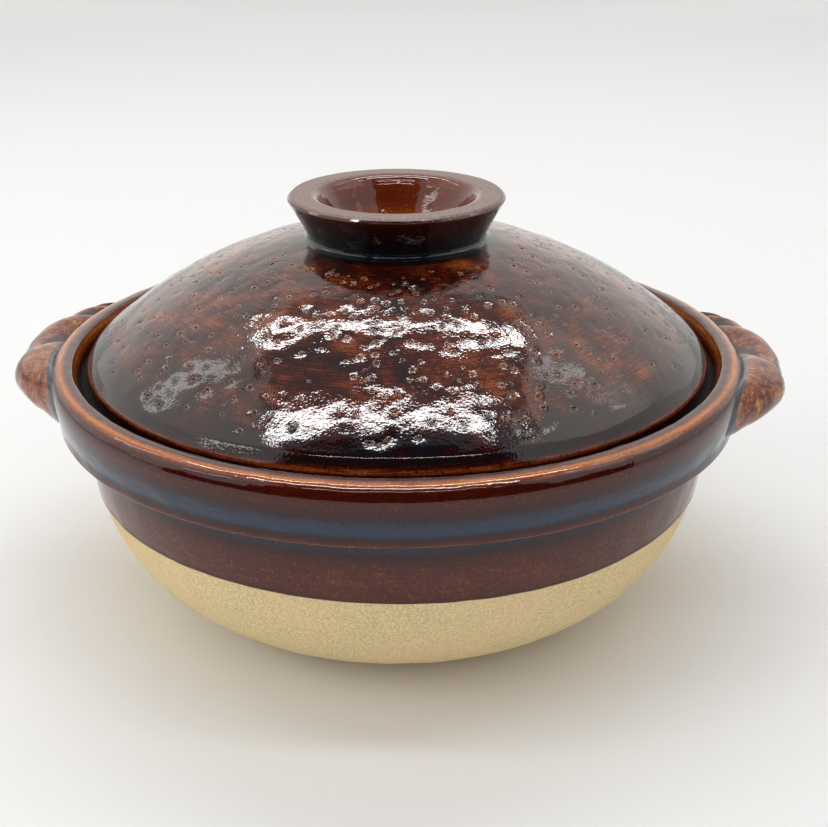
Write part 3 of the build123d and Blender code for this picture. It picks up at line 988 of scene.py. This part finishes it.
def makeRoom():
    dim = glowMaterial("dimCeiling", "#bcbabc", 1.0)
    dark = glowMaterial("darkRoom", "#161312", 1.0)
    tube = glowMaterial("ceilingTube", "#ffffff", stage["tubeStrength"])
    left, right, z = stage["dimLeft"], stage["dimRight"], stage["ceiling"]
    back, front, behind = stage["dimBack"], stage["dimFront"], stage["darkFront"]
    makeCeiling("dimCeiling", left, right, front, back, dim)
    makeCeiling("darkOverhead", left, right, stage["darkReach"], front, dark)
    across = [(-stage["darkHalf"], behind), (stage["darkHalf"], behind)]
    makeWall("darkFront", across, 0, across, z, dark)
    for side in (-1, 1):
        corner = [(side * x, y) for x, y in stage["lowDark"]]
        makeWall(f"lowDark{side + 1}", corner, 0, corner, stage["lowDarkHeight"], dark)
    wallLeft, wallRight, wallFront = stage["wallLeft"], stage["wallRight"], stage["wallFront"]
    for i, (near, far) in enumerate([(left, wallLeft), (right, wallRight)]):
        pale = glowMaterial(f"sideCeiling{i}", "#fff6f0", stage["sideCeilings"][i])
        makeCeiling(f"sideCeiling{i}", near, far, stage["sideFront"], back, pale)
    low, high = [
        [(wallLeft, wallFront), (wallLeft, rear), (wallRight, rear), (wallRight, wallFront)]
        for rear in (stage["wallBack"], back)
    ]
    for i, strength in enumerate(stage["wallStrengths"]):
        white = glowMaterial(f"whiteWall{i}", "#fffaf5", strength)
        makeWall(f"whiteWall{i}", low[i:i + 2], 0, high[i:i + 2], z, white)
    for i, (line, width, strength) in enumerate(stage["windows"]):
        makeHung(f"window{i}", line, width, glowMaterial(f"window{i}", "#fbf8f6", strength))
    for i, (line, width) in enumerate(stage["tubes"]):
        makeHung(f"tube{i}", line, width, tube)
    half, place, bottom, top = stage["lowTube"]
    across = [(-half, place), (half, place)]
    makeWall("lowTube", across, bottom, across, top, tube)


# The world is white to the camera and in reflections, and dimmer as light on matt surfaces
def lightWorld():
    world = bpy.data.worlds.new("softStudio")
    bpy.context.scene.world = world
    world.use_nodes = True
    tree = world.node_tree
    tree.nodes.clear()
    path = addNode(tree, "LightPath").outputs
    seen = addNode(tree, "Math", [path["Is Camera Ray"], path["Is Glossy Ray"]], operation="MAXIMUM")
    seen = addNode(tree, "Math", [seen, path["Is Transmission Ray"]], operation="MAXIMUM")
    strength = addNode(tree, "MapRange", [seen, 0.0, 1.0, stage["worldStrength"], 1.0])
    sky = addNode(tree, "Background", {"Color": colour("#ffffff"), "Strength": strength})
    addNode(tree, "OutputWorld", {"Surface": sky})


def makeLamps():
    for name, (place, aim, size, strength) in stage["lamps"].items():
        light = bpy.data.lights.new(name, "AREA")
        light.shape = "RECTANGLE"
        light.size, light.size_y = np.array(size) * mm
        light.energy = strength
        lamp = addObject(name, light)
        way = (Vector(aim) - Vector(place)).to_track_quat("-Z", "Y")
        lamp.matrix_world = Matrix.Translation(Vector(place) * mm) @ way.to_matrix().to_4x4()
        lamp.visible_glossy = False
        lamp.visible_camera = False


makeSheet()
makeRoom()
lightWorld()
makeLamps()
print("stage lit")

# Camera: fitted to the circles of the rim, the lid's edge and the knob in the photograph
view = {
    "place": (36.1, -516.6, 295.7),
    "heading": -3.24,  # degrees from +Y towards +X
    "tilt": 23.19,  # degrees below the horizon
    "roll": -0.11,
    "lens": 56.52,
}
camera = addObject("camera", bpy.data.cameras.new("camera"))
camera.data.lens = view["lens"]
camera.data.sensor_width = 36
camera.data.clip_start = 0.02
heading, tilt = radians(view["heading"]), radians(view["tilt"])
ahead = Vector((sin(heading) * cos(tilt), cos(heading) * cos(tilt), -sin(tilt)))
aim = ahead.to_track_quat("-Z", "Y").to_matrix().to_4x4() @ Matrix.Rotation(radians(view["roll"]), 4, "Z")
camera.matrix_world = Matrix.Translation(Vector(view["place"]) * mm) @ aim
bpy.context.scene.camera = camera
bpy.context.scene.view_settings.view_transform = "Standard"
print("camera set")
